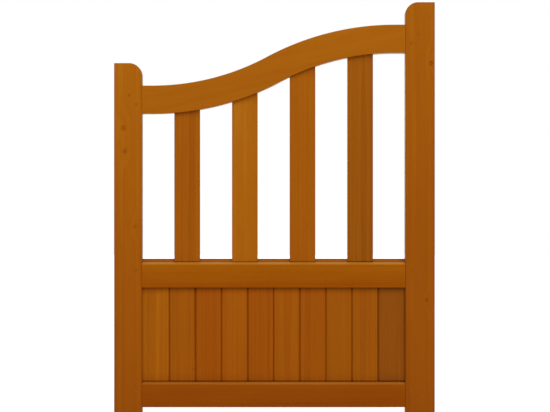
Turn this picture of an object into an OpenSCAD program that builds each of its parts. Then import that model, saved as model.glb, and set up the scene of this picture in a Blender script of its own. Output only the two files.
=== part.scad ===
// Swan-neck garden gate leaf, in timber: two stiles, three rails, open slats above and a boarded panel below.
// X runs along the gate, with the hanging stile's outer edge at 0. The front faces -Y. Z is up from the stiles' feet.

/* [Leaf] */
// Width over the two stiles
gate_w = 1000; // [800:5:1300]
// Height of the closing stile, which is the low one
low_h = 1110; // [900:5:1500]
// How much higher the hanging stile stands
neck_rise = 190; // [60:2:300]
// Thickness of the stiles and rails
frame_t = 45; // [36:0.5:65]
// Chamfer that eases the long edges of the frame and slats
arris = 2; // [0.5:0.1:4]

/* [Stiles] */
// Width of the closing stile
closing_stile_w = 87; // [75:1:120]
// Width of the hanging stile, which carries the leaf
hanging_stile_w = 92; // [75:1:120]
// Height that each stile stands above the top rail
stile_top = 70; // [66:1:150]
// Radius of the round on each stile's inner top corner
corner_r = 40; // [5:1:65]

/* [Top rail] */
// Width of the swan-neck rail, square to its curve
top_rail_w = 88; // [70:1:110]
// Level run at each end of the neck
neck_level = 32; // [14:1:80]

/* [Middle and bottom rails] */
// Height of the middle rail's underside
middle_rail_z = 410; // [300:5:600]
// Height of the middle rail, at its back
middle_rail_h = 90; // [75:1:120]
// Height of the bottom rail's underside
bottom_rail_z = 37; // [10:1:120]
// Height of the bottom rail, at its back
bottom_rail_h = 89; // [75:1:120]
// Height of the bevel along each rail's front top edge
bevel_h = 6.5; // [4:0.5:14]
// Rise of the weathered top behind the bevel
weather_h = 10.5; // [2:0.5:12]

/* [Slats] */
// Number of slats
slat_count = 4; // [2:1:6]
// Width of a slat
slat_w = 80; // [50:1:95]
// Thickness of a slat
slat_t = 18; // [14:0.5:24]
// Depth that a slat is housed in the rails
slat_housing = 15; // [8:1:22]

/* [Boards] */
// Number of tongued and grooved boards
board_count = 10; // [6:1:14]
// Thickness of a board
board_t = 18; // [15:0.5:24]
// How much more shows of the first and the last board
edge_board_extra = 3; // [0:0.5:15]
// Width of the chamfer on a board's edges, two of which make a vee
board_vee = 3; // [1:0.25:4]
// Thickness of a board's tongue
tongue_t = 6; // [4:0.25:7.5]
// Length of a board's tongue
tongue_l = 7; // [4:0.5:9]
// Depth of the groove that holds the boards in the rails and stiles
groove_depth = 12; // [8:0.5:15]

/* [Joints] */
// Thickness of a tenon
tenon_t = 15; // [10:0.5:20]
// Length of a tenon
tenon_l = 60; // [50:1:70]
// Diameter of a peg
peg_d = 8; // [6:0.2:11]
// Distance from a shoulder to the nearer of its pegs
peg_near = 18; // [14:0.5:22]
// Distance from a shoulder to the further of its pegs
peg_far = 40; // [34:0.5:43]
// Height of each peg above or below the middle of its tenon
peg_step = 14; // [9:0.5:17]

/* [Fits] */
// Clearance round a tenon, a slat or a board's edge
fit = 0.2; // [0.1:0.05:0.4]
// Clearance round a peg
peg_fit = 0.05; // [0.02:0.01:0.1]
// Room for the wood to swell at a hidden end
swell = 2; // [1:0.25:4]

/* [Hidden] */
$fn = 96;
frame_stain = "#A05A10";
rail_stain = "#9A5310";
slat_stain = "#9E580E";
board_stain = "#964E0A";
peg_stain = "#7A4210";

RAILS = ["top", "middle", "bottom"];
SIDES = ["closing", "hanging"];
PEGS = ["near", "far"];

tall_h = low_h + neck_rise;
clear_w = gate_w - closing_stile_w - hanging_stile_w;
left_x = -gate_w + closing_stile_w;
right_x = -hanging_stile_w;

// The neck is two equal arcs, one turned over, that meet at its middle. The angle and the radius are
// rounded off, and the upper arc's centre is worked out from them, so that the arcs meet with no step.
low_neck_z = low_h - stile_top - top_rail_w / 2;
high_neck_z = low_neck_z + neck_rise;
neck_run = clear_w - 2 * neck_level;
neck_angle = rounded(2 * atan(neck_rise / neck_run), 4);
neck_r = rounded(neck_run / (2 * sin(neck_angle)), 2);
low_arc = [left_x + neck_level, low_neck_z + neck_r];
high_arc = low_arc + 2 * neck_r * [sin(neck_angle), -cos(neck_angle)];

// How far the outlines above the neck lap each other, where their edges run on together
lap = 5;
lap_angle = 3;

slat_gap = (clear_w - slat_count * slat_w) / (slat_count + 1);
slat_foot = middle_rail_z + middle_rail_h - weather_h - slat_housing;
slat_end = slat_housing - swell - top_rail_w / 2;

board_cover = (clear_w - 2 * edge_board_extra) / board_count;
board_foot = bottom_rail_z + bottom_rail_h - weather_h - groove_depth;
board_head = middle_rail_z + groove_depth - swell;

function rounded(value, places) = round(value * pow(10, places)) / pow(10, places);

function peg_name(rail, side, peg) = str("peg_", rail, "_", side, "_", peg);

// Where a rail's shoulder meets the stile on a side, the way its tenon points, and the stile's width
function shoulder_x(side) = side == "closing" ? left_x : right_x;
function outward(side) = side == "closing" ? -1 : 1;
function stile_w(side) = side == "closing" ? closing_stile_w : hanging_stile_w;

// Lowest and highest point of the tenon of a rail on a side
function level_tenon(z, h) = [z + groove_depth, z + h - weather_h - groove_depth];
function neck_tenon(z) = [z - top_rail_w / 2 + groove_depth, z + top_rail_w / 2 - groove_depth];
function tenon_z(rail, side) =
    rail == "bottom" ? level_tenon(bottom_rail_z, bottom_rail_h) :
    rail == "middle" ? level_tenon(middle_rail_z, middle_rail_h) :
    neck_tenon(side == "closing" ? low_neck_z : high_neck_z);

// The pegs of a joint step down towards the rail at the top rail and up towards it at the others.
function peg_side(rail, peg) = (rail == "top") == (peg == "near") ? -1 : 1;
function peg_x(side, peg) = shoulder_x(side) + outward(side) * (peg == "near" ? peg_near : peg_far);
function peg_z(rail, side, peg) =
    (tenon_z(rail, side)[0] + tenon_z(rail, side)[1]) / 2 + peg_side(rail, peg) * peg_step;

function slat_x(i) = left_x + slat_gap + (i - 1) * (slat_w + slat_gap);
function board_x(i) = left_x + (i == 1 ? 0 : edge_board_extra + (i - 1) * board_cover);
function board_w(i) = board_cover + (i == 1 || i == board_count ? edge_board_extra : 0);

// Section of a square-edged piece with its corners eased, about its middle
function eased(w, t) = [
    for (turn = [[1, 1], [-1, 1], [-1, -1], [1, -1]], first = [true, false])
        let (cut_x = first == (turn[0] == turn[1]) ? 0 : arris)
        [turn[0] * (w / 2 - cut_x), turn[1] * (t / 2 - arris + cut_x)]
];

// Section of a level rail that is h high at its back, bevelled up to the face of what stands on it
function rail_section(h, infill_t) = [
    [-frame_t / 2 + arris, 0],
    [frame_t / 2 - arris, 0],
    [frame_t / 2, arris],
    [frame_t / 2, h - arris],
    [frame_t / 2 - arris, h - weather_h * arris / (frame_t + infill_t) * 2],
    [-infill_t / 2, h - weather_h],
    [-frame_t / 2, h - weather_h - bevel_h],
    [-frame_t / 2, arris]
];

// Section of a board's left edge: plain where it enters the stile, grooved elsewhere
function left_edge(plain) = plain ? [
    [-groove_depth + swell, board_t / 2],
    [-groove_depth + swell, -board_t / 2]
] : [
    [board_vee, board_t / 2],
    [0, board_t / 2 - board_vee],
    [0, tongue_t / 2 + fit],
    [tongue_l + fit, tongue_t / 2 + fit],
    [tongue_l + fit, -tongue_t / 2 - fit],
    [0, -tongue_t / 2 - fit],
    [0, -board_t / 2 + board_vee],
    [board_vee, -board_t / 2]
];

// Section of a board's right edge, w from its left: plain where it enters the stile, tongued elsewhere
function right_edge(w, plain) = plain ? [
    [w + groove_depth - swell, -board_t / 2],
    [w + groove_depth - swell, board_t / 2]
] : [
    [w - board_vee, -board_t / 2],
    [w, -board_t / 2 + board_vee],
    [w, -tongue_t / 2],
    [w + tongue_l, -tongue_t / 2],
    [w + tongue_l, tongue_t / 2],
    [w, tongue_t / 2],
    [w, board_t / 2 - board_vee],
    [w - board_vee, board_t / 2]
];

// Stands an outline drawn in X and Z up in the gate's thickness, t thick
module stand_up(t) {
    translate([0, t / 2, 0]) rotate([90, 0, 0]) linear_extrude(t) children();
}

// Runs a section drawn in Y and Z along X
module run_along(x_from, x_to) {
    translate([x_from, 0, 0]) rotate([90, 0, 90]) linear_extrude(x_to - x_from) children();
}

// A block t thick in the middle of the gate, between two corners in X and Z
module block(low, high, t) {
    translate([low[0], -t / 2, low[1]]) cube([high[0] - low[0], t, high[1] - low[1]]);
}

module wedge(apex, from, to, reach) {
    translate(apex) polygon([
        [0, 0],
        reach * [cos(from), sin(from)],
        reach * [cos(to), sin(to)]
    ]);
}

// Everything above the neck's line when that is moved up by rise, as an outline in X and Z
module above_neck(rise) {
    reach = 2 * (neck_r + clear_w);
    translate([left_x, low_neck_z + rise]) square([neck_level, reach]);
    translate([high_arc[0] - lap, high_neck_z + rise]) square([neck_level + 2 * lap, reach]);
    intersection() {
        wedge(low_arc, -90 - lap_angle, -90 + neck_angle + lap_angle, reach);
        translate(low_arc) circle(neck_r - rise, $fn = 720);
    }
    difference() {
        wedge(high_arc, 90, 90 + neck_angle, reach);
        translate(high_arc) circle(neck_r + rise, $fn = 720);
    }
}

// Moves to a point in X and Z by a coarse step and then a fine one
module move_to(point) {
    coarse = [for (value = point) rounded(value, 2)];
    fine = point - coarse;
    translate([coarse[0], 0, coarse[1]]) translate([fine[0], 0, fine[1]]) children();
}

// Half of the neck rail: an arc about a centre, from a start angle, and a level run beyond its start
module neck_half(centre, from, level_from, level_to) {
    move_to(centre) {
        rotate([90, 0, 0]) rotate_extrude(angle = neck_angle, start = from, $fn = 720)
            translate([neck_r, 0]) polygon(eased(top_rail_w, frame_t));
        translate([0, 0, neck_r * sin(from)]) run_along(level_from, level_to)
            polygon(eased(frame_t, top_rail_w));
    }
}

module tenon(rail, side, root) {
    z = tenon_z(rail, side);
    x = [shoulder_x(side) - outward(side) * root, shoulder_x(side) + outward(side) * tenon_l];
    block([min(x), z[0]], [max(x), z[1]], tenon_t);
}

module mortise(rail, side) {
    z = tenon_z(rail, side);
    x = [shoulder_x(side) - outward(side) * lap, shoulder_x(side) + outward(side) * (tenon_l + swell)];
    block([min(x), z[0] - fit], [max(x), z[1] + fit], tenon_t + 2 * fit);
}

// A round bar through the gate's thickness at one peg's place
module peg_bar(rail, side, peg, d, length) {
    translate([peg_x(side, peg), length / 2, peg_z(rail, side, peg)])
        rotate([90, 0, 0]) cylinder(length, d = d);
}

module peg_holes(rail, side) {
    for (peg = PEGS) peg_bar(rail, side, peg, peg_d + 2 * peg_fit, 2 * frame_t);
}

// What is cut off a stile's inner top corner to round it
module corner_cut(side, h) {
    round_x = shoulder_x(side) + outward(side) * corner_r;
    stand_up(2 * frame_t) difference() {
        translate([min(round_x, round_x - 2 * outward(side) * corner_r), h - corner_r])
            square(2 * corner_r);
        translate([round_x, h - corner_r]) circle(corner_r);
    }
}

// The groove that holds the outer board in a stile
module stile_groove(side) {
    x = [shoulder_x(side) - outward(side) * lap, shoulder_x(side) + outward(side) * groove_depth];
    block([min(x), board_foot], [max(x), middle_rail_z + groove_depth], board_t + 2 * fit);
}

module stile(side, h) {
    middle_x = shoulder_x(side) + outward(side) * stile_w(side) / 2;
    color(frame_stain) difference() {
        translate([middle_x, 0, 0]) linear_extrude(h) polygon(eased(stile_w(side), frame_t));
        corner_cut(side, h);
        stile_groove(side);
        for (rail = RAILS) mortise(rail, side);
        for (rail = RAILS) peg_holes(rail, side);
    }
}

module hanging_stile() {
    stile("hanging", tall_h);
}

module closing_stile() {
    stile("closing", low_h);
}

module top_rail() {
    color(rail_stain) difference() {
        union() {
            neck_half(low_arc, -90, -neck_level, 0);
            neck_half(high_arc, 90, 0, right_x - high_arc[0]);
            for (side = SIDES) tenon("top", side, neck_level / 2);
        }
        for (side = SIDES) peg_holes("top", side);
        for (i = [1 : slat_count]) top_housing(i);
    }
}

// The housing for a slat's head, which follows the neck's underside
module top_housing(i) {
    stand_up(slat_t + 2 * fit) difference() {
        translate([slat_x(i) - fit, slat_foot]) square([slat_w + 2 * fit, high_neck_z - slat_foot]);
        above_neck(slat_housing - top_rail_w / 2);
    }
}

// A level rail from its underside's height, with a tenon at each end
module level_rail(rail, z, h, infill_t) {
    run_along(left_x, right_x) translate([0, z]) polygon(rail_section(h, infill_t));
    for (side = SIDES) tenon(rail, side, stile_w(side));
}

// The groove that holds the boards' ends, from a height up
module board_groove(z) {
    block([left_x - lap, z], [right_x + lap, z + 2 * groove_depth], board_t + 2 * fit);
}

module middle_rail() {
    color(rail_stain) difference() {
        level_rail("middle", middle_rail_z, middle_rail_h, slat_t);
        board_groove(middle_rail_z - groove_depth);
        for (side = SIDES) peg_holes("middle", side);
        for (i = [1 : slat_count])
            block(
                [slat_x(i) - fit, slat_foot],
                [slat_x(i) + slat_w + fit, slat_foot + 2 * slat_housing + weather_h],
                slat_t + 2 * fit
            );
    }
}

module bottom_rail() {
    color(rail_stain) difference() {
        level_rail("bottom", bottom_rail_z, bottom_rail_h, board_t);
        board_groove(board_foot);
        for (side = SIDES) peg_holes("bottom", side);
    }
}

// A slat stands in the middle rail, and its head is cut to the neck.
module slat(i) {
    color(slat_stain) difference() {
        translate([slat_x(i) + slat_w / 2, 0, slat_foot])
            linear_extrude(high_neck_z - slat_foot) polygon(eased(slat_w, slat_t));
        stand_up(2 * slat_t) above_neck(slat_end);
    }
}

// A board stands in the bottom rail's groove, with its tongue in the next board.
module board(i) {
    color(board_stain) translate([board_x(i), 0, board_foot])
        linear_extrude(board_head - board_foot)
            polygon(concat(left_edge(i == 1), right_edge(board_w(i), i == board_count)));
}

module peg(rail, side, which) {
    color(peg_stain) peg_bar(rail, side, which, peg_d, frame_t);
}

hanging_stile();
closing_stile();
top_rail();
middle_rail();
bottom_rail();
for (i = [1 : slat_count]) slat(i);
for (i = [1 : board_count]) board(i);
for (rail = RAILS, side = SIDES, which = PEGS)
    peg(rail, side, which);
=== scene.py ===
"""The looks of a swan-neck garden gate leaf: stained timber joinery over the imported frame.

The gate stands on Z = 0 with its front facing -Y, its closing stile on the left and its hanging stile on
the right. Sizes are in metres. Every piece replaces the CAD node of the same name.
"""

import math

import bmesh
import bpy
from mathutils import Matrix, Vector


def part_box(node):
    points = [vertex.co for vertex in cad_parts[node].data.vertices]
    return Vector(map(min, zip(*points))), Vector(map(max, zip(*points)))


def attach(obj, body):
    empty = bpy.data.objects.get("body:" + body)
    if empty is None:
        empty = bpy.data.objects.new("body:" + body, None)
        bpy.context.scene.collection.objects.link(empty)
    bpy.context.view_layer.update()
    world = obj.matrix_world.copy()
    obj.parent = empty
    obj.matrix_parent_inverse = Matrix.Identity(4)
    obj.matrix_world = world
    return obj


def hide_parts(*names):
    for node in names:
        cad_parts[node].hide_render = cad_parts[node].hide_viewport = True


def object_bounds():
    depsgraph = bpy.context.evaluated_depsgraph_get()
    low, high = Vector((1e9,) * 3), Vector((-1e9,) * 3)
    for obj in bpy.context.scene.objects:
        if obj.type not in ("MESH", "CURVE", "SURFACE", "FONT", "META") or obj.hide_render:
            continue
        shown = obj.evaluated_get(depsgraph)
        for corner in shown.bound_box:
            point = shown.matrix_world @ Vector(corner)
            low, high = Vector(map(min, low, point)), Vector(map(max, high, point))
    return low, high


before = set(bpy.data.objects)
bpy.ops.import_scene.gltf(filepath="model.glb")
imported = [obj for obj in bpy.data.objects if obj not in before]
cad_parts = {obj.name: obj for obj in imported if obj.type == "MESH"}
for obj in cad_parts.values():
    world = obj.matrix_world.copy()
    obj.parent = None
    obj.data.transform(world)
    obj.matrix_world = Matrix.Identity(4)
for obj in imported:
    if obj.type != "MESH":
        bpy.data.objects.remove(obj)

cad_low, cad_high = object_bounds()

# ---- The gate's own sizes --------------------------------------------------------------------------

closing_low, closing_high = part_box("closing_stile")
hanging_low, hanging_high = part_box("hanging_stile")
neck_low, neck_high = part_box("top_rail")

LEFT = closing_high.x               # inner face of the closing stile
RIGHT = hanging_low.x               # inner face of the hanging stile
FRONT = cad_low.y
BACK = cad_high.y
FRAME_T = BACK - FRONT              # thickness of the stiles and rails

SLATS = [f"slat_{i}" for i in range(1, 5)]
BOARDS = [f"board_{i}" for i in range(1, 11)]
PEGS = [
    f"peg_{rail}_{side}_{place}"
    for rail in ("top", "middle", "bottom")
    for side in ("closing", "hanging")
    for place in ("near", "far")
]

ARRIS = 0.002                       # rounding of every handled edge
FINE_ARRIS = 0.0012                 # rounding of the edges of slats and boards
ARRIS_STEPS = 3
SHARP = math.radians(40)            # an edge that turns more than this gets an arris
SMOOTH = math.radians(35)           # faces that turn less than this are shaded as one
CLOSE = 1e-5                        # how near its place an edge or face is looked for
ALONG = 0.999                       # cosine above which an edge runs along an axis
FACING = 0.99                       # cosine above which a face looks straight along an axis
UPWARD = 0.9                        # cosine above which a face looks up
CORNER_R = 0.040                    # rounded inner top corner of a stile
CORNER_STEPS = 20
NECK_W = 0.088                      # depth of the swan-neck rail, square to its line
NECK_LEVEL = 0.032                  # level run at each end of the neck
NECK_STEPS = 36                     # pieces that each arc of the neck is swept in
WEATHER = 0.0105                    # rise of a level rail's top towards the back
BEVEL = 0.0065                      # height of the bevel along a level rail's front edge
INFILL_T = 0.018                    # thickness of slats and boards
VEE = 0.003                         # chamfer on a board's edges, two of which make a vee
TONGUE_T = 0.006                    # thickness and length of a board's tongue
TONGUE_L = 0.007
JOINT_GAP = 0.0002                  # gap left at the bottom of a vee
TENON_T = 0.015
HOUSING = 0.012                     # how deep slats are let into the neck, and tenons set in at their edges
PEG_RECESS_R = 0.0041               # mouth of a peg's hole
PEG_RECESS = 0.0006                 # depth of that mouth
PEG_DOME = 0.0002                   # rise of a peg's end over its rim
PEG_SIDES = 32

# The neck is two equal arcs, one turned over, that meet at its middle. These are its centre line's
# heights at the two ends, and the arcs' angle, radius and centres.
NECK_LOW_Z = neck_low.z + NECK_W / 2
NECK_HIGH_Z = neck_high.z - NECK_W / 2
NECK_RUN = RIGHT - LEFT - 2 * NECK_LEVEL
NECK_ANGLE = 2 * math.atan((NECK_HIGH_Z - NECK_LOW_Z) / NECK_RUN)
NECK_R = NECK_RUN / (2 * math.sin(NECK_ANGLE))
LOW_ARC = Vector((LEFT + NECK_LEVEL, 0, NECK_LOW_Z + NECK_R))
HIGH_ARC = Vector((RIGHT - NECK_LEVEL, 0, NECK_HIGH_Z - NECK_R))


# ---- Modelling -------------------------------------------------------------------------------------

def put_down_everything():
    """Leaves nothing selected and nothing active."""
    if bpy.context.object and bpy.context.object.mode != "OBJECT":
        bpy.ops.object.mode_set(mode="OBJECT")
    bpy.ops.object.select_all(action="DESELECT")
    bpy.context.view_layer.objects.active = None


def take_up(piece):
    """Makes one piece the only selected and active one."""
    put_down_everything()
    piece.select_set(True)
    bpy.context.view_layer.objects.active = piece


def settle(piece, name):
    """Names a new piece and moves its place, turn and scale into its mesh."""
    piece.name = name
    piece.data.name = name
    take_up(piece)
    bpy.ops.object.transform_apply(location=True, rotation=True, scale=True)
    return piece


def block(name, low, high):
    """A square block of timber between two corners, ready to be shaped."""
    put_down_everything()
    low, high = Vector(low), Vector(high)
    bpy.ops.mesh.primitive_cube_add(size=1, location=(low + high) / 2)
    bpy.context.object.scale = high - low
    return settle(bpy.context.object, f"{name}_finish")


def open_up(piece):
    """Opens a piece in edit mode with nothing selected in it."""
    take_up(piece)
    bpy.ops.object.mode_set(mode="EDIT")
    bpy.ops.mesh.select_all(action="DESELECT")


def close_up():
    """Leaves edit mode."""
    bpy.ops.object.mode_set(mode="OBJECT")


def pick(piece, parts, wanted):
    """Selects the edges or faces of an open piece that pass a test, and nothing else."""
    bpy.ops.mesh.select_mode(type="EDGE" if parts == "edges" else "FACE")
    bpy.ops.mesh.select_all(action="DESELECT")
    mesh = bmesh.from_edit_mesh(piece.data)
    for part in getattr(mesh, parts):
        if wanted(part):
            part.select_set(True)
    bmesh.update_edit_mesh(piece.data)


def edge_middle(edge):
    """The point halfway along an edge."""
    return (edge.verts[0].co + edge.verts[1].co) / 2


def runs_along(edge, axis):
    """Whether an edge runs along X (0), Y (1) or Z (2)."""
    line = (edge.verts[1].co - edge.verts[0].co).normalized()
    return abs(line[axis]) > ALONG


def saw(piece, point, outward):
    """Saws a piece along a plane and throws away the side that outward points to."""
    open_up(piece)
    bpy.ops.mesh.select_all(action="SELECT")
    bpy.ops.mesh.bisect(
        plane_co=point, plane_no=Vector(outward).normalized(), use_fill=True, clear_outer=True
    )
    close_up()


def ease_edges(piece, width, steps=ARRIS_STEPS):
    """Rounds every sharp edge of a piece by a small arris."""
    take_up(piece)
    rounding = piece.modifiers.new("arris", "BEVEL")
    rounding.width = width
    rounding.segments = steps
    rounding.limit_method = "ANGLE"
    rounding.angle_limit = SHARP
    bpy.ops.object.modifier_apply(modifier=rounding.name)


def smooth(piece):
    """Smooth shading over the rounded edges, with the flats kept flat."""
    take_up(piece)
    bpy.ops.object.shade_smooth_by_angle(angle=SMOOTH)
    weighting = piece.modifiers.new("flat faces", "WEIGHTED_NORMAL")
    weighting.keep_sharp = True
    weighting.weight = 100
    bpy.ops.object.modifier_apply(modifier=weighting.name)


def face_out(piece):
    """Merges doubled points and turns every face outwards."""
    open_up(piece)
    bpy.ops.mesh.select_all(action="SELECT")
    bpy.ops.mesh.remove_doubles(threshold=1e-6)
    bpy.ops.mesh.normals_make_consistent(inside=False)
    close_up()


def cut_away(piece, cutters):
    """Cuts the shapes of several cutters out of a piece, and takes the cutters away."""
    take_up(cutters[0])
    for cutter in cutters:
        cutter.select_set(True)
    if len(cutters) > 1:
        bpy.ops.object.join()
    cutter = bpy.context.object
    take_up(piece)
    cutting = piece.modifiers.new("cut", "BOOLEAN")
    cutting.operation = "DIFFERENCE"
    cutting.solver = "EXACT"
    cutting.object = cutter
    bpy.ops.object.modifier_apply(modifier=cutting.name)
    take_up(cutter)
    bpy.ops.object.delete()


def peg_hole_cutters(low, high):
    """Shallow round cutters on both faces of the gate, for the pegs that lie between two corners."""
    cutters = []
    for name in PEGS:
        peg_low, peg_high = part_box(name)
        middle = (peg_low + peg_high) / 2
        if not low.x < middle.x < high.x:
            continue
        for y in (FRONT, BACK):
            put_down_everything()
            bpy.ops.mesh.primitive_cylinder_add(
                vertices=PEG_SIDES,
                radius=PEG_RECESS_R,
                depth=2 * PEG_RECESS,
                location=(middle.x, y, middle.z),
                rotation=(math.pi / 2, 0, 0),
            )
            cutters.append(settle(bpy.context.object, f"{name}_cutter"))
    return cutters


def stile(node, inner_x):
    """A stile with its inner top corner rounded, its edges eased and its peg holes bored."""
    low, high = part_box(node)
    piece = block(node, low, high)
    open_up(piece)
    pick(
        piece,
        "edges",
        lambda edge: runs_along(edge, 1)
        and abs(edge_middle(edge).x - inner_x) < CLOSE
        and abs(edge_middle(edge).z - high.z) < CLOSE,
    )
    bpy.ops.mesh.bevel(offset=CORNER_R, segments=CORNER_STEPS, affect="EDGES")
    close_up()
    ease_edges(piece, ARRIS)
    cut_away(piece, peg_hole_cutters(low, high))
    smooth(piece)
    return piece


def add_tenon(piece, shoulder_x, outward, reach, low_z, high_z):
    """Grows a tenon from the shoulder of a rail: the end face drawn in to its section, then pulled out."""
    open_up(piece)
    pick(
        piece,
        "faces",
        lambda face: face.normal.x * outward > FACING
        and abs(face.calc_center_median().x - shoulder_x) < CLOSE,
    )
    mesh = bmesh.from_edit_mesh(piece.data)
    chosen = [vert for vert in mesh.verts if vert.select]
    shoulder_low = min(vert.co.z for vert in chosen)
    shoulder_high = max(vert.co.z for vert in chosen)
    middle = ((shoulder_low + shoulder_high) / 2, (low_z + high_z) / 2)
    bpy.ops.mesh.extrude_region_move()
    bpy.ops.transform.resize(
        value=(1, TENON_T / FRAME_T, (high_z - low_z) / (shoulder_high - shoulder_low)),
        center_override=(shoulder_x, 0, middle[0]),
    )
    bpy.ops.transform.translate(value=(0, 0, middle[1] - middle[0]))
    bpy.ops.mesh.extrude_region_move(TRANSFORM_OT_translate={"value": (outward * reach, 0, 0)})
    close_up()


def level_rail(node):
    """A level rail with its top weathered, its front edge bevelled and a tenon at each end."""
    low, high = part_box(node)
    back_z = high.z
    ridge = Vector((0, -INFILL_T / 2, back_z - WEATHER))
    piece = block(node, (LEFT, FRONT, low.z), (RIGHT, BACK, back_z + ARRIS))
    slope = BACK - ridge.y
    saw(piece, ridge, (0, -WEATHER, slope))
    front_depth = ridge.y - FRONT
    saw(piece, ridge, (0, -BEVEL, front_depth))
    open_up(piece)
    pick(
        piece,
        "edges",
        lambda edge: runs_along(edge, 0) and edge.calc_face_angle() > SHARP,
    )
    bpy.ops.mesh.bevel(offset=FINE_ARRIS, segments=ARRIS_STEPS, affect="EDGES")
    close_up()
    for shoulder_x, outward, end_x in ((LEFT, -1, low.x), (RIGHT, 1, high.x)):
        add_tenon(
            piece, shoulder_x, outward, abs(end_x - shoulder_x),
            low.z + HOUSING, back_z - WEATHER - HOUSING,
        )
    smooth(piece)
    return piece


def neck_at(x):
    """Height and slope of the neck's centre line at a distance along the gate."""
    if x < (LOW_ARC.x + HIGH_ARC.x) / 2:
        lean = math.asin(max(x - LOW_ARC.x, 0) / NECK_R)
        return LOW_ARC.z - NECK_R * math.cos(lean), lean
    lean = math.asin(max(HIGH_ARC.x - x, 0) / NECK_R)
    return HIGH_ARC.z + NECK_R * math.cos(lean), lean


def neck_rail(node):
    """The swan-neck rail: its eased section run level, swept round both arcs, and run level again."""
    put_down_everything()
    bpy.ops.mesh.primitive_plane_add(
        size=1, location=(LEFT, 0, NECK_LOW_Z), rotation=(0, -math.pi / 2, 0)
    )
    bpy.context.object.scale = (NECK_W, FRAME_T, 1)
    piece = settle(bpy.context.object, f"{node}_finish")
    open_up(piece)
    bpy.ops.mesh.select_all(action="SELECT")
    bpy.ops.mesh.bevel(offset=ARRIS, segments=ARRIS_STEPS, affect="VERTICES")
    bpy.ops.mesh.select_all(action="SELECT")
    bpy.ops.mesh.extrude_region_move(TRANSFORM_OT_translate={"value": (NECK_LEVEL, 0, 0)})
    bpy.ops.mesh.spin(steps=NECK_STEPS, angle=NECK_ANGLE, center=LOW_ARC, axis=(0, 1, 0))
    bpy.ops.mesh.spin(steps=NECK_STEPS, angle=-NECK_ANGLE, center=HIGH_ARC, axis=(0, 1, 0))
    bpy.ops.mesh.extrude_region_move(TRANSFORM_OT_translate={"value": (NECK_LEVEL, 0, 0)})
    close_up()
    face_out(piece)
    for shoulder_x, outward, end_x, middle_z in (
        (LEFT, -1, neck_low.x, NECK_LOW_Z),
        (RIGHT, 1, neck_high.x, NECK_HIGH_Z),
    ):
        add_tenon(
            piece, shoulder_x, outward, abs(end_x - shoulder_x),
            middle_z - NECK_W / 2 + HOUSING, middle_z + NECK_W / 2 - HOUSING,
        )
    smooth(piece)
    return piece


def slat(node):
    """An upright slat with its edges eased, and its head sawn to the slope of the neck it is housed in."""
    low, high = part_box(node)
    piece = block(node, low, high)
    centre_x = (low.x + high.x) / 2
    line_z, lean = neck_at(centre_x)
    head_z = line_z - (NECK_W / 2 - HOUSING) / math.cos(lean)
    saw(piece, (centre_x, 0, head_z), (-math.sin(lean), 0, math.cos(lean)))
    ease_edges(piece, FINE_ARRIS)
    smooth(piece)
    return piece


def board(node):
    """A board with vee chamfers, a tongue on its right edge and a groove in its left edge.

    Both are drawn out of the edge the same way, so that it sinks in on the left and grows on the right.
    """
    first, last = node == BOARDS[0], node == BOARDS[-1]
    low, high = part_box(node)
    left_x = low.x
    right_x = high.x if last else high.x - TONGUE_L
    half_gap = JOINT_GAP / 2
    piece = block(
        node,
        (left_x if first else left_x + half_gap, low.y, low.z),
        (right_x if last else right_x - half_gap, high.y, high.z),
    )
    sides = [x for x, plain in ((left_x + half_gap, first), (right_x - half_gap, last)) if not plain]
    open_up(piece)
    pick(
        piece,
        "edges",
        lambda edge: runs_along(edge, 2)
        and any(abs(edge_middle(edge).x - x) < CLOSE for x in sides),
    )
    bpy.ops.mesh.bevel(offset=VEE - half_gap, segments=1, affect="EDGES")
    for x in sides:
        pick(
            piece,
            "faces",
            lambda face: abs(face.normal.x) > FACING and abs(face.calc_center_median().x - x) < CLOSE,
        )
        bpy.ops.mesh.inset(thickness=(INFILL_T - 2 * VEE - TONGUE_T) / 2, use_even_offset=True)
        bpy.ops.mesh.extrude_region_move(TRANSFORM_OT_translate={"value": (TONGUE_L, 0, 0)})
    close_up()
    smooth(piece)
    return piece


def peg(node):
    """A turned peg: both ends rounded at the rim and slightly domed, in two rings."""
    low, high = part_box(node)
    middle = (low + high) / 2
    radius = (high.x - low.x) / 2
    length = high.y - low.y - 2 * PEG_DOME
    rim, outer_ring, inner_ring = radius / 8, radius / 3, radius / 4
    put_down_everything()
    bpy.ops.mesh.primitive_cylinder_add(
        vertices=PEG_SIDES, radius=radius, depth=length, location=middle, rotation=(math.pi / 2, 0, 0)
    )
    piece = settle(bpy.context.object, f"{node}_finish")
    open_up(piece)
    pick(piece, "edges", lambda edge: not runs_along(edge, 1))
    bpy.ops.mesh.bevel(offset=rim, segments=2, affect="EDGES")
    for outward in (-1, 1):
        pick(piece, "faces", lambda face: face.normal.y * outward > FACING)
        bpy.ops.mesh.inset(thickness=outer_ring)
        bpy.ops.transform.translate(value=(0, outward * PEG_DOME, 0))
        bpy.ops.mesh.inset(thickness=inner_ring)
    close_up()
    smooth(piece)
    return piece


def peg_copies():
    """The first peg, and a copy of it, with its own mesh, at the place of every other."""
    pattern = peg(PEGS[0])
    pegs = {PEGS[0]: pattern}
    first_low, first_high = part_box(PEGS[0])
    for node in PEGS[1:]:
        low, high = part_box(node)
        take_up(pattern)
        bpy.ops.object.duplicate(linked=False)
        copy = bpy.context.object
        copy.location = (low + high) / 2 - (first_low + first_high) / 2
        pegs[node] = settle(copy, f"{node}_finish")
    return pegs


# ---- Finishes --------------------------------------------------------------------------------------

def screen(red, green, blue):
    """A colour as it shows on a screen, 0 to 255, made linear."""
    def linear(value):
        value = value / 255
        return value / 12.92 if value <= 0.04045 else ((value + 0.055) / 1.055) ** 2.4
    return (linear(red), linear(green), linear(blue), 1)


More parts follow.
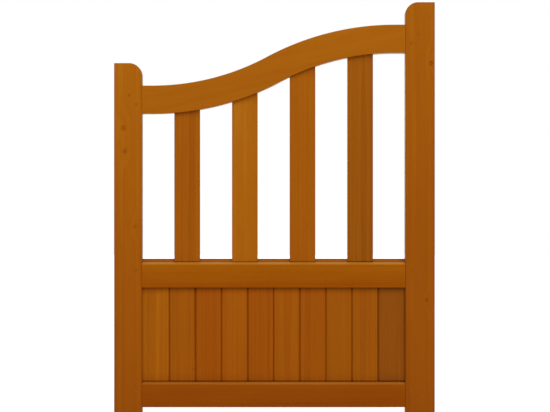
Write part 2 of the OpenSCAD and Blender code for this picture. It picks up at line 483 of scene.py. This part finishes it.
# The stain from its thickest coat to its thinnest: where it is thick it is darker and redder.
STAIN = [
    (0.00, screen(46, 15, 2)),
    (0.20, screen(86, 35, 3)),
    (0.40, screen(121, 55, 4)),
    (0.55, screen(140, 68, 4)),
    (0.70, screen(152, 78, 6)),
    (0.85, screen(165, 93, 9)),
    (1.00, screen(186, 121, 34)),
]
HIGHLIGHT_TINT = (1.0, 0.52, 0.06, 1)    # the amber film colours what it mirrors

# Cells a metre of each pattern in the timber, across the grain and along it
BROAD_STREAKS = (95, 1.6)
FINE_STREAKS = (420, 5)
FIBRES = (1500, 22)
CLOUDS = (11, 2.6)
PORES = (1100, 60)
WEAR = (60, 14)
SHEEN = (40, 9)
RING_STRETCH = (1.0, 0.10)               # growth rings change ten times more slowly along the grain
WAVE_RATE = 20                           # radians in each unit of a wave texture's scale
LATE_WOOD_POWER = 2.2                    # makes late wood narrower than early wood
SHIFT_WAYS = (1.0, 0.013, 3.1)           # how far a shift of 1 goes each way through the tree
KNOT_CELLS = 260.0                       # cells a metre of the noise round a knot
KNOT_RAGGEDNESS = 0.55                   # how far that noise moves a knot's outline, in its radii
KNOT_CORE = (0.1, 0.9)                   # where its core and its dark rim start and end to fade, in radii
KNOT_RIM = (0.7, 1.7)
KNOT_PUSH = 1.1                          # how far it pushes the rings aside, in radii
KNOT_HEART = 0.45                        # how much lighter its core is than its rim, as a share
KNOT_LENGTH = 1.25                       # how much longer a knot is along the grain than across it
SWELL_LENGTH = 2.6                       # and how much longer the swelling of the grain round it is
SWELL_REACH = 6.0                        # how many of the knot's radii away the swelling ends
PEG_RINGS = 260.0                        # scale of the rings and specks in a peg's end grain
PEG_SPECKS = 2400.0
LATE_WOOD_MEAN = 0.31                    # share of late wood, so that a strong figure darkens no piece
FIBRE_SWING = 0.05                       # how much fibres change the tone
PORE_DARKER = 0.10                       # how much darker pores and end grain are
END_DARKER = 0.20
FINE_SHARE = 0.8                         # how strong fine streaks are beside broad ones
PORE_EDGE = (0.66, 0.74)                 # where in its noise a pore begins
WEAR_EDGE = (0.38, 0.62)                 # where in its noise an arris goes from half to full strength: of wear where edge lightens it, of painted shade where edge darkens it
ARRIS_TURN = (0.25, 0.6)                 # how far a rounded edge has turned, both ways, to count as one
END_TURN = (0.75, 0.9)                   # and a face towards the grain's end, to count as end grain
TOP_TURN = (0.3, 0.9)                    # and a face upwards, to get the painted highlight of a top lit from above
SIDE_BAND = 0.013                        # width of the band of painted shade along a piece's sides
FOOT_SOLID = 0.4                         # share of the painted foot line that is fully dark
FOOT_SOFT_REACH = 5                          # how many times as far up the softer darkening over it reaches

# What each pattern adds to the roughness of the film, and to its relief
ROUGHER = dict(late_wood=-0.05, sheen=0.10, streaks=0.06, arris=0.06, end_grain=0.18, pores=0.15)
RAISED = dict(late_wood=0.35, streaks=0.6, fibres=0.35, pores=-0.5)

PEG_TONE = 0.76
PEG_ROUGHNESS = 0.6


class Nodes:
    """A node tree being put together: each call adds a node and gives back its output."""

    def __init__(self, tree):
        self.tree = tree
        self.tree.nodes.clear()

    def node(self, kind, inputs=(), **settings):
        made = self.tree.nodes.new(kind)
        for name, value in settings.items():
            setattr(made, name, value)
        for name, value in dict(inputs).items():
            if isinstance(value, bpy.types.NodeSocket):
                self.tree.links.new(value, made.inputs[name])
            else:
                made.inputs[name].default_value = value
        return made

    def sum(self, operation, *values):
        inputs = dict(enumerate(values))
        return self.node("ShaderNodeMath", inputs, operation=operation).outputs[0]

    def vector(self, operation, *values, output=0):
        inputs = dict(enumerate(values))
        return self.node("ShaderNodeVectorMath", inputs, operation=operation).outputs[output]

    def axes(self, place):
        return self.node("ShaderNodeSeparateXYZ", {"Vector": place}).outputs

    def noise(self, place, scale, detail=2.0, roughness=0.5):
        inputs = {"Vector": place, "Scale": scale, "Detail": detail, "Roughness": roughness}
        return self.node("ShaderNodeTexNoise", inputs).outputs[0]

    def stretch(self, place, cells):
        """Places scaled so that a pattern has so many cells a metre across the grain and along it."""
        across, along = cells
        return self.vector("MULTIPLY", place, (across, across, along))

    def ease(self, value, start, end, low=0.0, high=1.0):
        inputs = {"Value": value, "From Min": start, "From Max": end, "To Min": low, "To Max": high}
        return self.node("ShaderNodeMapRange", inputs, interpolation_type="SMOOTHSTEP").outputs[0]

    def swing(self, value, amount):
        """A pattern of 0 to 1 turned into a change of tone about nothing."""
        centred = self.sum("SUBTRACT", value, 0.5)
        return self.sum("MULTIPLY", centred, 2 * amount)

    def looked_at(self):
        """1 where it is seen straight, in a reflection or through glass, and 0 where it only gives light."""
        path = self.node("ShaderNodeLightPath").outputs
        mirrored = self.sum("MAXIMUM", path["Is Glossy Ray"], path["Is Transmission Ray"])
        return self.sum("MAXIMUM", path["Is Camera Ray"], mirrored)


class Finish(Nodes):
    """A material being put together."""

    def __init__(self, name):
        self.material = bpy.data.materials.new(name)
        self.material.use_nodes = True
        super().__init__(self.material.node_tree)

    def film(self, colour, rough, relief, strength, distance, gloss, coat):
        """Ends the material in a coloured film over a relief, its highlights tinted by the stain."""
        bump = self.node("ShaderNodeBump", {"Height": relief, "Strength": strength, "Distance": distance})
        surface = self.node(
            "ShaderNodeBsdfPrincipled",
            {
                "Base Color": colour,
                "Roughness": rough,
                "Normal": bump.outputs[0],
                "Specular IOR Level": gloss,
                "Specular Tint": HIGHLIGHT_TINT,
                **coat,
            },
        )
        self.node("ShaderNodeOutputMaterial", {"Surface": surface.outputs[0]})


def knot_marks(finish, place, knots):
    """Knots through the timber: how far each pushes the grain aside, and how it changes the tone."""
    push, tone = 0.0, 0.0
    ragged = finish.swing(finish.noise(place, KNOT_CELLS, 3.0), KNOT_RAGGEDNESS)
    for x, z, radius, depth in knots:
        away = finish.vector("SUBTRACT", place, (x, 0, z))
        shaped = finish.vector("MULTIPLY", away, (1 / radius, 0, 1 / (KNOT_LENGTH * radius)))
        distance = finish.sum("ADD", finish.vector("LENGTH", shaped, output="Value"), ragged)
        drawn_out = finish.vector("MULTIPLY", away, (1 / radius, 0, 1 / (SWELL_LENGTH * radius)))
        reach = finish.vector("LENGTH", drawn_out, output="Value")
        bulge = finish.ease(reach, 0.0, SWELL_REACH, 1.0, 0.0)
        core = finish.ease(distance, *KNOT_CORE, 1.0, 0.0)
        rim = finish.ease(distance, *KNOT_RIM, 1.0, 0.0)
        push = finish.sum("MULTIPLY_ADD", bulge, radius * KNOT_PUSH, push)
        shade = finish.sum("MULTIPLY", rim, -depth)
        heart = finish.sum("MULTIPLY_ADD", core, depth * KNOT_HEART, shade)
        tone = finish.sum("ADD", heart, tone)
    return push, tone


def growth_rings(finish, grain_place, heart, shift, push, ring, waver):
    """How much late wood there is: rings round the heart of the tree, wavering and swelling round knots."""
    tree_place = finish.vector("SUBTRACT", grain_place, (heart[0] + shift, heart[1], 0))
    if push is not None:
        apart = finish.node("ShaderNodeCombineXYZ", {"Y": push}).outputs[0]
        tree_place = finish.vector("SUBTRACT", tree_place, apart)
    rings = finish.node(
        "ShaderNodeTexWave",
        {
            "Vector": finish.stretch(tree_place, RING_STRETCH),
            "Scale": 2 * math.pi / (WAVE_RATE * ring),
            "Distortion": waver,
            "Detail": 1.5,
            "Detail Scale": 0.14,
            "Detail Roughness": 0.45,
        },
        wave_type="RINGS",
        rings_direction="Z",
        wave_profile="SAW",
    ).outputs["Fac"]
    return finish.sum("POWER", rings, LATE_WOOD_POWER)


def edges_and_ends(finish, normal, level_grain):
    """Where the rounded edges of a piece are, and where its end grain is."""
    parts = finish.axes(finish.vector("ABSOLUTE", normal))
    side_x_squared = finish.sum("MULTIPLY", parts["X"], parts["X"])
    side = finish.sum("SQRT", finish.sum("MULTIPLY_ADD", parts["Z"], parts["Z"], side_x_squared))
    arris = finish.ease(finish.sum("MINIMUM", side, parts["Y"]), *ARRIS_TURN)
    end_grain = finish.ease(parts["X"] if level_grain else parts["Z"], *END_TURN)
    return arris, end_grain


def shade_by_place(finish, depth, place, sides, painted_shade_under_rail, foot_line):
    """Painted shade along a piece's sides, under the rail above it and in the crease along its foot, and a
    softer darkening just above the foot.
    """
    parts = finish.axes(place)
    height = parts["Z"]
    # Painted shade along both sides of the piece, at its edges and joints
    if sides:
        middle_x, half_width, darker = sides
        off_middle = finish.sum("ABSOLUTE", finish.sum("SUBTRACT", parts["X"], middle_x))
        near_side = finish.ease(off_middle, half_width - SIDE_BAND, half_width)
        depth = finish.sum("MULTIPLY_ADD", near_side, -darker, depth)
    # Painted shade: a band just under the rail above, darkest at the rail and fading downwards, where its
    # shadow falls
    if painted_shade_under_rail:
        head_z, band, darker = painted_shade_under_rail
        depth = finish.sum("MULTIPLY_ADD", finish.ease(height, head_z - band, head_z), -darker, depth)
    # Painted shade: a dark line in the crease where the piece's face meets the rail below, and a softer
    # darkening of the timber just above it
    if foot_line:
        foot_z, reach, darker, shade = foot_line
        painted_foot_line = finish.ease(height, foot_z + reach, foot_z + FOOT_SOLID * reach)
        depth = finish.sum("MULTIPLY_ADD", painted_foot_line, -darker, depth)
        darker_above_foot = finish.ease(height, foot_z + FOOT_SOFT_REACH * reach, foot_z)
        depth = finish.sum("MULTIPLY_ADD", darker_above_foot, -shade, depth)
    return depth


def stain_colour(finish, depth, tint):
    """The stain's colour, by how thin its coat is with the painted shade and highlight counted in, tinted
    for the piece.
    """
    stain = finish.node("ShaderNodeValToRGB", {"Fac": depth})
    ramp = stain.color_ramp
    ramp.elements[0].position, ramp.elements[0].color = STAIN[0]
    ramp.elements[1].position, ramp.elements[1].color = STAIN[-1]
    for position, colour in STAIN[1:-1]:
        ramp.elements.new(position).color = colour
    tinted = finish.node(
        "ShaderNodeMix", data_type="RGBA", blend_type="MULTIPLY", clamp_result=False
    )
    tinted.inputs["Factor"].default_value = 1.0
    finish.tree.links.new(stain.outputs["Color"], tinted.inputs["A"])
    tinted.inputs["B"].default_value = tint
    return tinted.outputs["Result"]


def stained_timber(
    name,
    tone,
    foot_tone=None,
    span=(0.0, 1.0),
    grain_turn=0.0,
    heart=(0.03, 0.11),
    shift=0.0,
    ring=0.0042,
    figure=0.05,
    streak=0.065,
    cloud=0.07,
    waver=3.0,
    edge=0.07,
    tint=(1, 1, 1, 1),
    knots=(),
    painted_top_highlight=0.0,
    gloss=0.35,
    dullness=0.46,
    sides=None,
    painted_shade_under_rail=None,
    foot_line=None,
):
    """Timber under a translucent amber stain, worked out from how thick the stain lies, with painted light
    and shade added to that.

    tone is how light the piece is at the top of its span in Z, and foot_tone at the bottom; the darkening
    between them is painted shade, as if less light reached lower down. The grain runs along Z, or as far
    turned towards X as grain_turn says. heart is where the middle of the tree lay, across the piece and
    behind its face; shift takes each piece from another part of the tree.
    knots gives each knot's place in X and Z, its radius and how much darker it is.
    sides is the middle of the piece, half its width and how much darker it is painted near its sides, as
    shade at its edges and joints.
    The argument for painted shade under a rail is the height below which the piece is painted darker, the
    depth of the band and how much darker it is. foot_line is the height of a foot along which a dark line is
    painted as shade in the crease, how far up the line reaches, how much darker it is, and how much darker
    the timber is just above it.
    """
    finish = Finish(name)
    place = finish.node("ShaderNodeTexCoord").outputs["Object"]
    grain_place = finish.node(
        "ShaderNodeMapping",
        {
            "Vector": place,
            "Rotation": (0, grain_turn, 0),
            "Location": [way * shift for way in SHIFT_WAYS],
        },
    ).outputs[0]
    push, knot_tone = knot_marks(finish, place, knots) if knots else (None, None)
    late_wood = growth_rings(finish, grain_place, heart, shift, push, ring, waver)

    # Streaks and fibres along the grain, and slow clouds where the timber drank more stain
    broad_streaks = finish.noise(finish.stretch(grain_place, BROAD_STREAKS), 1.0, 2.0, 0.55)
    fine_streaks = finish.noise(finish.stretch(grain_place, FINE_STREAKS), 1.0, 2.0, 0.6)
    fibres = finish.noise(finish.stretch(grain_place, FIBRES), 1.0, 1.0)
    clouds = finish.noise(finish.stretch(grain_place, CLOUDS), 1.0, 2.5, 0.55)
    pores = finish.ease(finish.noise(finish.stretch(grain_place, PORES), 1.0), *PORE_EDGE)
    normal = finish.node("ShaderNodeNewGeometry").outputs["Normal"]
    arris, end_grain = edges_and_ends(finish, normal, grain_turn != 0)

    # How light each point shows, from 0 to 1: how thin the coat lies, with painted shade darkening each
    # piece towards the foot of its span
    depth = finish.node(
        "ShaderNodeMapRange",
        {
            "Value": finish.axes(place)["Z"],
            "From Min": span[0],
            "From Max": span[1],
            "To Min": tone if foot_tone is None else foot_tone,
            "To Max": tone,
        },
    ).outputs[0]
    depth = finish.sum("MULTIPLY_ADD", late_wood, -figure, depth)
    depth = finish.sum("ADD", depth, figure * LATE_WOOD_MEAN)
    depth = finish.sum("ADD", depth, finish.swing(broad_streaks, streak))
    depth = finish.sum("ADD", depth, finish.swing(fine_streaks, streak * FINE_SHARE))
    depth = finish.sum("ADD", depth, finish.swing(fibres, FIBRE_SWING))
    depth = finish.sum("ADD", depth, finish.swing(clouds, cloud))
    depth = finish.sum("MULTIPLY_ADD", pores, -PORE_DARKER, depth)
    # Arrises lightened by wear where edge is above nothing, and darkened as painted shade where it is below
    # nothing, on the stiles and at the boards' vees
    wear_and_shade = finish.ease(finish.noise(finish.stretch(grain_place, WEAR), 1.0, 3.0), *WEAR_EDGE, 0.5, 1.0)
    depth = finish.sum("MULTIPLY_ADD", finish.sum("MULTIPLY", arris, wear_and_shade), edge, depth)
    depth = finish.sum("MULTIPLY_ADD", end_grain, -END_DARKER, depth)
    # Painted highlight: faces turned upwards, the rails' front bevels above all, are made lighter where
    # light from above falls on them
    if painted_top_highlight:
        upward = finish.ease(finish.axes(normal)["Z"], *TOP_TURN)
        depth = finish.sum("MULTIPLY_ADD", upward, painted_top_highlight, depth)
    if knots:
        depth = finish.sum("ADD", depth, knot_tone)
    depth = shade_by_place(finish, depth, place, sides, painted_shade_under_rail, foot_line)

    # The film is glossier over the dense late wood and duller over open grain and rubbed edges
    sheen = finish.noise(finish.stretch(grain_place, SHEEN), 1.0, 3.0)
    rough = finish.sum("MULTIPLY_ADD", late_wood, ROUGHER["late_wood"], dullness)
    rough = finish.sum("ADD", rough, finish.swing(sheen, ROUGHER["sheen"]))
    rough = finish.sum("ADD", rough, finish.swing(fine_streaks, ROUGHER["streaks"]))
    rough = finish.sum("MULTIPLY_ADD", arris, ROUGHER["arris"], rough)
    rough = finish.sum("MULTIPLY_ADD", end_grain, ROUGHER["end_grain"], rough)
    rough = finish.sum("MULTIPLY_ADD", pores, ROUGHER["pores"], rough)

    relief = finish.sum("MULTIPLY", late_wood, RAISED["late_wood"])
    relief = finish.sum("MULTIPLY_ADD", fine_streaks, RAISED["streaks"], relief)
    relief = finish.sum("MULTIPLY_ADD", fibres, RAISED["fibres"], relief)
    relief = finish.sum("MULTIPLY_ADD", pores, RAISED["pores"], relief)
    finish.film(
        stain_colour(finish, depth, tint), rough, relief, strength=0.35, distance=0.0004, gloss=gloss,
        coat={"Coat Weight": 0.02, "Coat Roughness": 0.22},
    )
    return finish.material


def peg_finish():
    """End grain of a peg, with fine rings and specks, a little darker than what it holds."""
    finish = Finish("stained peg end")
    place = finish.node("ShaderNodeTexCoord").outputs["Object"]
    rings = finish.node(
        "ShaderNodeTexWave",
        {"Vector": place, "Scale": PEG_RINGS, "Distortion": 2.0, "Detail": 2.0, "Detail Scale": 1.5},
        wave_type="BANDS",
        bands_direction="DIAGONAL",
    ).outputs["Fac"]
    specks = finish.noise(place, PEG_SPECKS, 2.0)
    depth = finish.sum("ADD", finish.swing(rings, 0.05), PEG_TONE)
    depth = finish.sum("ADD", depth, finish.swing(specks, 0.08))
    stain = finish.node("ShaderNodeValToRGB", {"Fac": depth})
    stain.color_ramp.elements[0].color = STAIN[0][1]
    stain.color_ramp.elements[1].color = STAIN[-2][1]
    middle_position, middle_colour = STAIN[2]
    stain.color_ramp.elements.new(middle_position).color = middle_colour
    rough = finish.sum("ADD", finish.swing(specks, 0.12), PEG_ROUGHNESS)
    relief = finish.sum("ADD", rings, specks)
    finish.film(
        stain.outputs["Color"], rough, relief, strength=0.5, distance=0.0003, gloss=0.3, coat={}
    )
    return finish.material


# ---- The pieces ------------------------------------------------------------------------------------

def hand_over(piece, node, material):
    """Gives a finished piece its material and lets it stand for its CAD node."""
    piece.data.materials.clear()
    piece.data.materials.append(material)
    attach(piece, "root")
    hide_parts(node)


ALONG_X = -math.pi / 2              # turns the grain from upright to level
CHORD = math.atan2(neck_high.z - neck_low.z - NECK_W, RIGHT - LEFT)     # the neck's climb from end to end

NECK_FOOT_Z = 0.95                                    # where the neck's tone starts to lighten upwards, a painted change of light
MIDDLE_RAIL_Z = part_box("middle_rail")[0].z            # undersides of the level rails
BOTTOM_RAIL_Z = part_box("bottom_rail")[0].z
SLAT_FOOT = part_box("middle_rail")[1].z - WEATHER      # where a slat's face meets the rail it stands in
BOARD_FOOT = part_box("bottom_rail")[1].z - WEATHER

SLAT_LOOKS = [
    dict(tone=0.70, foot_tone=0.675, figure=0.10, streak=0.09, heart=(0.015, 0.10)),
    dict(tone=0.865, foot_tone=0.80, figure=0.05, streak=0.06, heart=(-0.04, 0.16)),
    dict(tone=0.775, foot_tone=0.69, figure=0.06, streak=0.05, heart=(0.05, 0.13)),
    dict(
        tone=0.66, foot_tone=0.57, figure=0.12, streak=0.10, heart=(0.01, 0.07),
        tint=(0.97, 1.08, 1.6, 1),
    ),
]
BOARD_LOOKS = [
    dict(tone=0.79, foot_tone=0.715, figure=0.10, heart=(-0.01, 0.09), cloud=0.11),
    dict(
        tone=0.675, foot_tone=0.665, figure=0.15, heart=(0.00, 0.06), cloud=0.08,
        knots=[(-0.7535, 0.155, 0.0030, 0.20)],
    ),
    dict(tone=0.66, foot_tone=0.63, figure=0.07, heart=(0.05, 0.12), tint=(1.02, 0.91, 0.9, 1)),
    dict(tone=0.725, foot_tone=0.70, figure=0.07, heart=(-0.05, 0.14), tint=(1.01, 0.95, 0.9, 1)),
    dict(tone=0.65, foot_tone=0.62, figure=0.08, heart=(0.02, 0.10), tint=(1.01, 0.91, 0.9, 1)),
    dict(tone=0.715, foot_tone=0.69, figure=0.08, heart=(0.00, 0.12), tint=(1, 0.97, 0.9, 1)),
    dict(tone=0.665, foot_tone=0.65, figure=0.10, heart=(-0.02, 0.08), tint=(1, 0.95, 0.9, 1)),
    dict(tone=0.68, foot_tone=0.66, figure=0.09, heart=(0.03, 0.09), tint=(0.98, 1, 1, 1)),
    dict(tone=0.67, foot_tone=0.67, figure=0.10, heart=(-0.01, 0.08), tint=(0.98, 1, 1, 1)),
    dict(tone=0.53, foot_tone=0.52, figure=0.10, heart=(0.04, 0.07), tint=(0.95, 1.05, 2.2, 1)),
]


def beside_middle(look, middle_x):
    """A piece's look, with the heart of its tree counted from the piece's own middle."""
    off_middle, behind = look["heart"]
    return {**look, "heart": (middle_x + off_middle, behind)}


def finish_stiles():
    """The two stiles, painted darker towards the foot as shade, with painted shade on their arrises and
    along their sides, and a few small knots.
    """
    closing = stained_timber(
        "stain on closing stile", 0.85, 0.575, span=(0.0, closing_high.z), heart=(-0.95, 0.12),
        ring=0.0048, figure=0.07, streak=0.06, cloud=0.10, edge=-0.18,
        sides=((closing_low.x + closing_high.x) / 2, (closing_high.x - closing_low.x) / 2, 0.07),
        knots=[
            (-0.9704, 0.9075, 0.0055, 0.30),
            (-0.9657, 0.8358, 0.0045, 0.26),
            (-0.9345, 0.6010, 0.0035, 0.20),
        ],
    )
    hanging = stained_timber(
        "stain on hanging stile", 0.795, 0.545, span=(0.0, hanging_high.z), heart=(-0.04, 0.13),
        shift=0.37, ring=0.0044, figure=0.07, streak=0.06, cloud=0.09, edge=-0.18,
        sides=((hanging_low.x + hanging_high.x) / 2, (hanging_high.x - hanging_low.x) / 2, 0.07),
        knots=[(-0.0112, 1.1100, 0.0050, 0.32), (-0.0253, 0.3710, 0.0035, 0.22)],
    )
    hand_over(stile("closing_stile", LEFT), "closing_stile", closing)
    hand_over(stile("hanging_stile", RIGHT), "hanging_stile", hanging)


def weather_top(piece, material):
    """Gives the sloping top of a level rail, where the film has thinned with wear, a duller finish of its
    own, darker in colour than the rail's face as painted shade.
    """
    piece.data.materials.append(material)
    for face in piece.data.polygons:
        if face.normal.z > UPWARD and face.center.y > -INFILL_T / 2:
            face.material_index = 1


def finish_rails():
    """The neck, with its grain along its climb, and the level rails with their weathered tops. The level
    rails' upward bevels carry a painted highlight, and each rail is painted darker towards its foot as
    shade.
    """
    neck = stained_timber(
        "stain on top rail", 0.82, 0.79, span=(NECK_FOOT_Z, hanging_high.z),
        grain_turn=ALONG_X + CHORD, heart=(0.10, 0.15), shift=0.61, ring=0.005, figure=0.07,
        edge=0.05,
    )
    middle = stained_timber(
        "stain on middle rail", 0.81, 0.67, span=(MIDDLE_RAIL_Z, SLAT_FOOT), grain_turn=ALONG_X,
        heart=(0.04, 0.09), shift=1.13, figure=0.06, edge=0.06, painted_top_highlight=0.21, gloss=0.01,
    )
    bottom = stained_timber(
        "stain on bottom rail", 0.64, 0.54, span=(BOTTOM_RAIL_Z, BOARD_FOOT), grain_turn=ALONG_X,
        heart=(0.02, 0.10), shift=1.77, figure=0.05, edge=0.06, tint=(1, 1, 1.6, 1),
        painted_top_highlight=0.25, gloss=0.02,
    )
    hand_over(neck_rail("top_rail"), "top_rail", neck)
    # The sloping tops: a thin, low-gloss film, painted darker than the rails' faces as shade on the lit top
    weathered = stained_timber(
        "weathered rail top", 0.69, grain_turn=ALONG_X, heart=(0.03, 0.08), shift=1.4, figure=0.09,
        cloud=0.08, tint=(1.05, 1.13, 1, 1), gloss=0.008, dullness=0.75,
    )
    for node, material in (("middle_rail", middle), ("bottom_rail", bottom)):
        piece = level_rail(node)
        hand_over(piece, node, material)
        weather_top(piece, weathered)


def finish_slats():
    """The slats, each with a look of its own, with painted shade along their sides, just under the neck and
    along the foot.
    """
    for number, (node, look) in enumerate(zip(SLATS, SLAT_LOOKS), 1):
        low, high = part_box(node)
        centre_x = (low.x + high.x) / 2
        stain = stained_timber(
            f"stain on {node}", shift=0.29 * number, ring=0.0046, edge=0.02, span=(low.z, high.z),
            sides=(centre_x, (high.x - low.x) / 2, 0.04),
            painted_shade_under_rail=(neck_at(centre_x)[0] - NECK_W / 2, 0.030, 0.10),
            foot_line=(SLAT_FOOT, 0.005, 0.38, 0.0), **beside_middle(look, centre_x),
        )
        hand_over(slat(node), node, stain)


def finish_boards():
    """The boards, each with a look of its own, with painted shade at the vees, under the rail and along the
    foot.
    """
    for number, (node, look) in enumerate(zip(BOARDS, BOARD_LOOKS), 1):
        low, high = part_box(node)
        centre_x = (low.x + high.x) / 2
        stain = stained_timber(
            f"stain on {node}", shift=0.41 * number, ring=0.0052, waver=5.0, edge=-0.05,
            span=(low.z, high.z), sides=(centre_x, (high.x - low.x) / 2, 0.07),
            painted_shade_under_rail=(MIDDLE_RAIL_Z, 0.028, 0.16),
            foot_line=(BOARD_FOOT, 0.0065, 0.42, 0.09), **beside_middle(look, centre_x),
        )
        hand_over(board(node), node, stain)


def finish_pegs():
    """The twelve pegs, all with one finish."""
    stain = peg_finish()
    for node, piece in peg_copies().items():
        hand_over(piece, node, stain)


# ---- The studio ------------------------------------------------------------------------------------

VIEW_DISTANCE = 6.0                 # from the gate's front
VIEW_W = 1.7144                     # width of what the camera sees at the gate's front
VIEW_SHAPE = 412 / 550              # the view's height over its width
HEADROOM = 0.0065                   # room above the tall stile
VIEW_OFFSET = 0.0017                # how far the camera stands to the right of the gate's middle
SENSOR = 36.0                       # millimetres
FLOOR_REACH = 40.0
FLOOR_WHITE = (0.86, 0.86, 0.86, 1)
FLOOR_GLOW = 0.62                   # light that the floor only seems to give, so that it looks white
SURROUND = 0.42                     # strength at which the surround lights the gate


def set_camera():
    """A level camera square to the gate's front."""
    lens = bpy.data.cameras.new("camera")
    lens.sensor_width = SENSOR
    lens.lens = SENSOR * VIEW_DISTANCE / VIEW_W
    lens.dof.use_dof = False
    camera = bpy.data.objects.new("camera", lens)
    middle_x = (cad_low.x + cad_high.x) / 2 + VIEW_OFFSET
    middle_z = cad_high.z + HEADROOM - VIEW_W * VIEW_SHAPE / 2
    camera.location = (middle_x, FRONT - VIEW_DISTANCE, middle_z)
    camera.rotation_euler = (math.pi / 2, 0, 0)
    bpy.context.scene.collection.objects.link(camera)
    bpy.context.scene.camera = camera


def add_soft_sun(name, strength, spread, towards):
    """A soft lamp as broad as spread, in degrees, that shines the way that towards points."""
    lamp = bpy.data.lights.new(name, "SUN")
    lamp.energy = strength
    lamp.angle = math.radians(spread)
    holder = bpy.data.objects.new(name, lamp)
    holder.rotation_euler = Vector(towards).to_track_quat("-Z", "Y").to_euler()
    bpy.context.scene.collection.objects.link(holder)


def light_studio():
    """Soft light from above, in front and a little to the right, and an even pale surround."""
    add_soft_sun("key lamp", strength=1.42, spread=40, towards=(-0.32, 1.0, -0.72))
    add_soft_sun("fill lamp", strength=0.35, spread=60, towards=(0.6, 1.0, -0.25))
    add_soft_sun("back lamp", strength=0.8, spread=60, towards=(0.2, -1.0, -0.6))
    world = bpy.data.worlds.new("surround")
    bpy.context.scene.world = world
    world.use_nodes = True
    surround = Nodes(world.node_tree)
    strength = surround.node(
        "ShaderNodeMapRange", {"Value": surround.looked_at(), "To Min": SURROUND, "To Max": 1.0}
    ).outputs[0]
    light = surround.node("ShaderNodeBackground", {"Color": (1, 1, 1, 1), "Strength": strength})
    surround.node("ShaderNodeOutputWorld", {"Surface": light.outputs[0]})


def lay_floor():
    """A plain white floor that keeps the gate's soft shadow."""
    put_down_everything()
    bpy.ops.mesh.primitive_plane_add(size=FLOOR_REACH, location=(0, 0, 0))
    floor = settle(bpy.context.object, "floor")
    finish = Finish("white floor")
    glow = finish.sum("MULTIPLY", finish.looked_at(), FLOOR_GLOW)
    matt = finish.node("ShaderNodeBsdfDiffuse", {"Color": FLOOR_WHITE})
    shine = finish.node("ShaderNodeEmission", {"Color": (1, 1, 1, 1), "Strength": glow})
    both = finish.node("ShaderNodeAddShader", {0: matt.outputs[0], 1: shine.outputs[0]})
    finish.node("ShaderNodeOutputMaterial", {"Surface": both.outputs[0]})
    floor.data.materials.append(finish.material)


set_camera()
light_studio()
lay_floor()
finish_stiles()
finish_rails()
finish_slats()
finish_boards()
finish_pegs()
put_down_everything()
bpy.context.scene.view_settings.view_transform = "Standard"
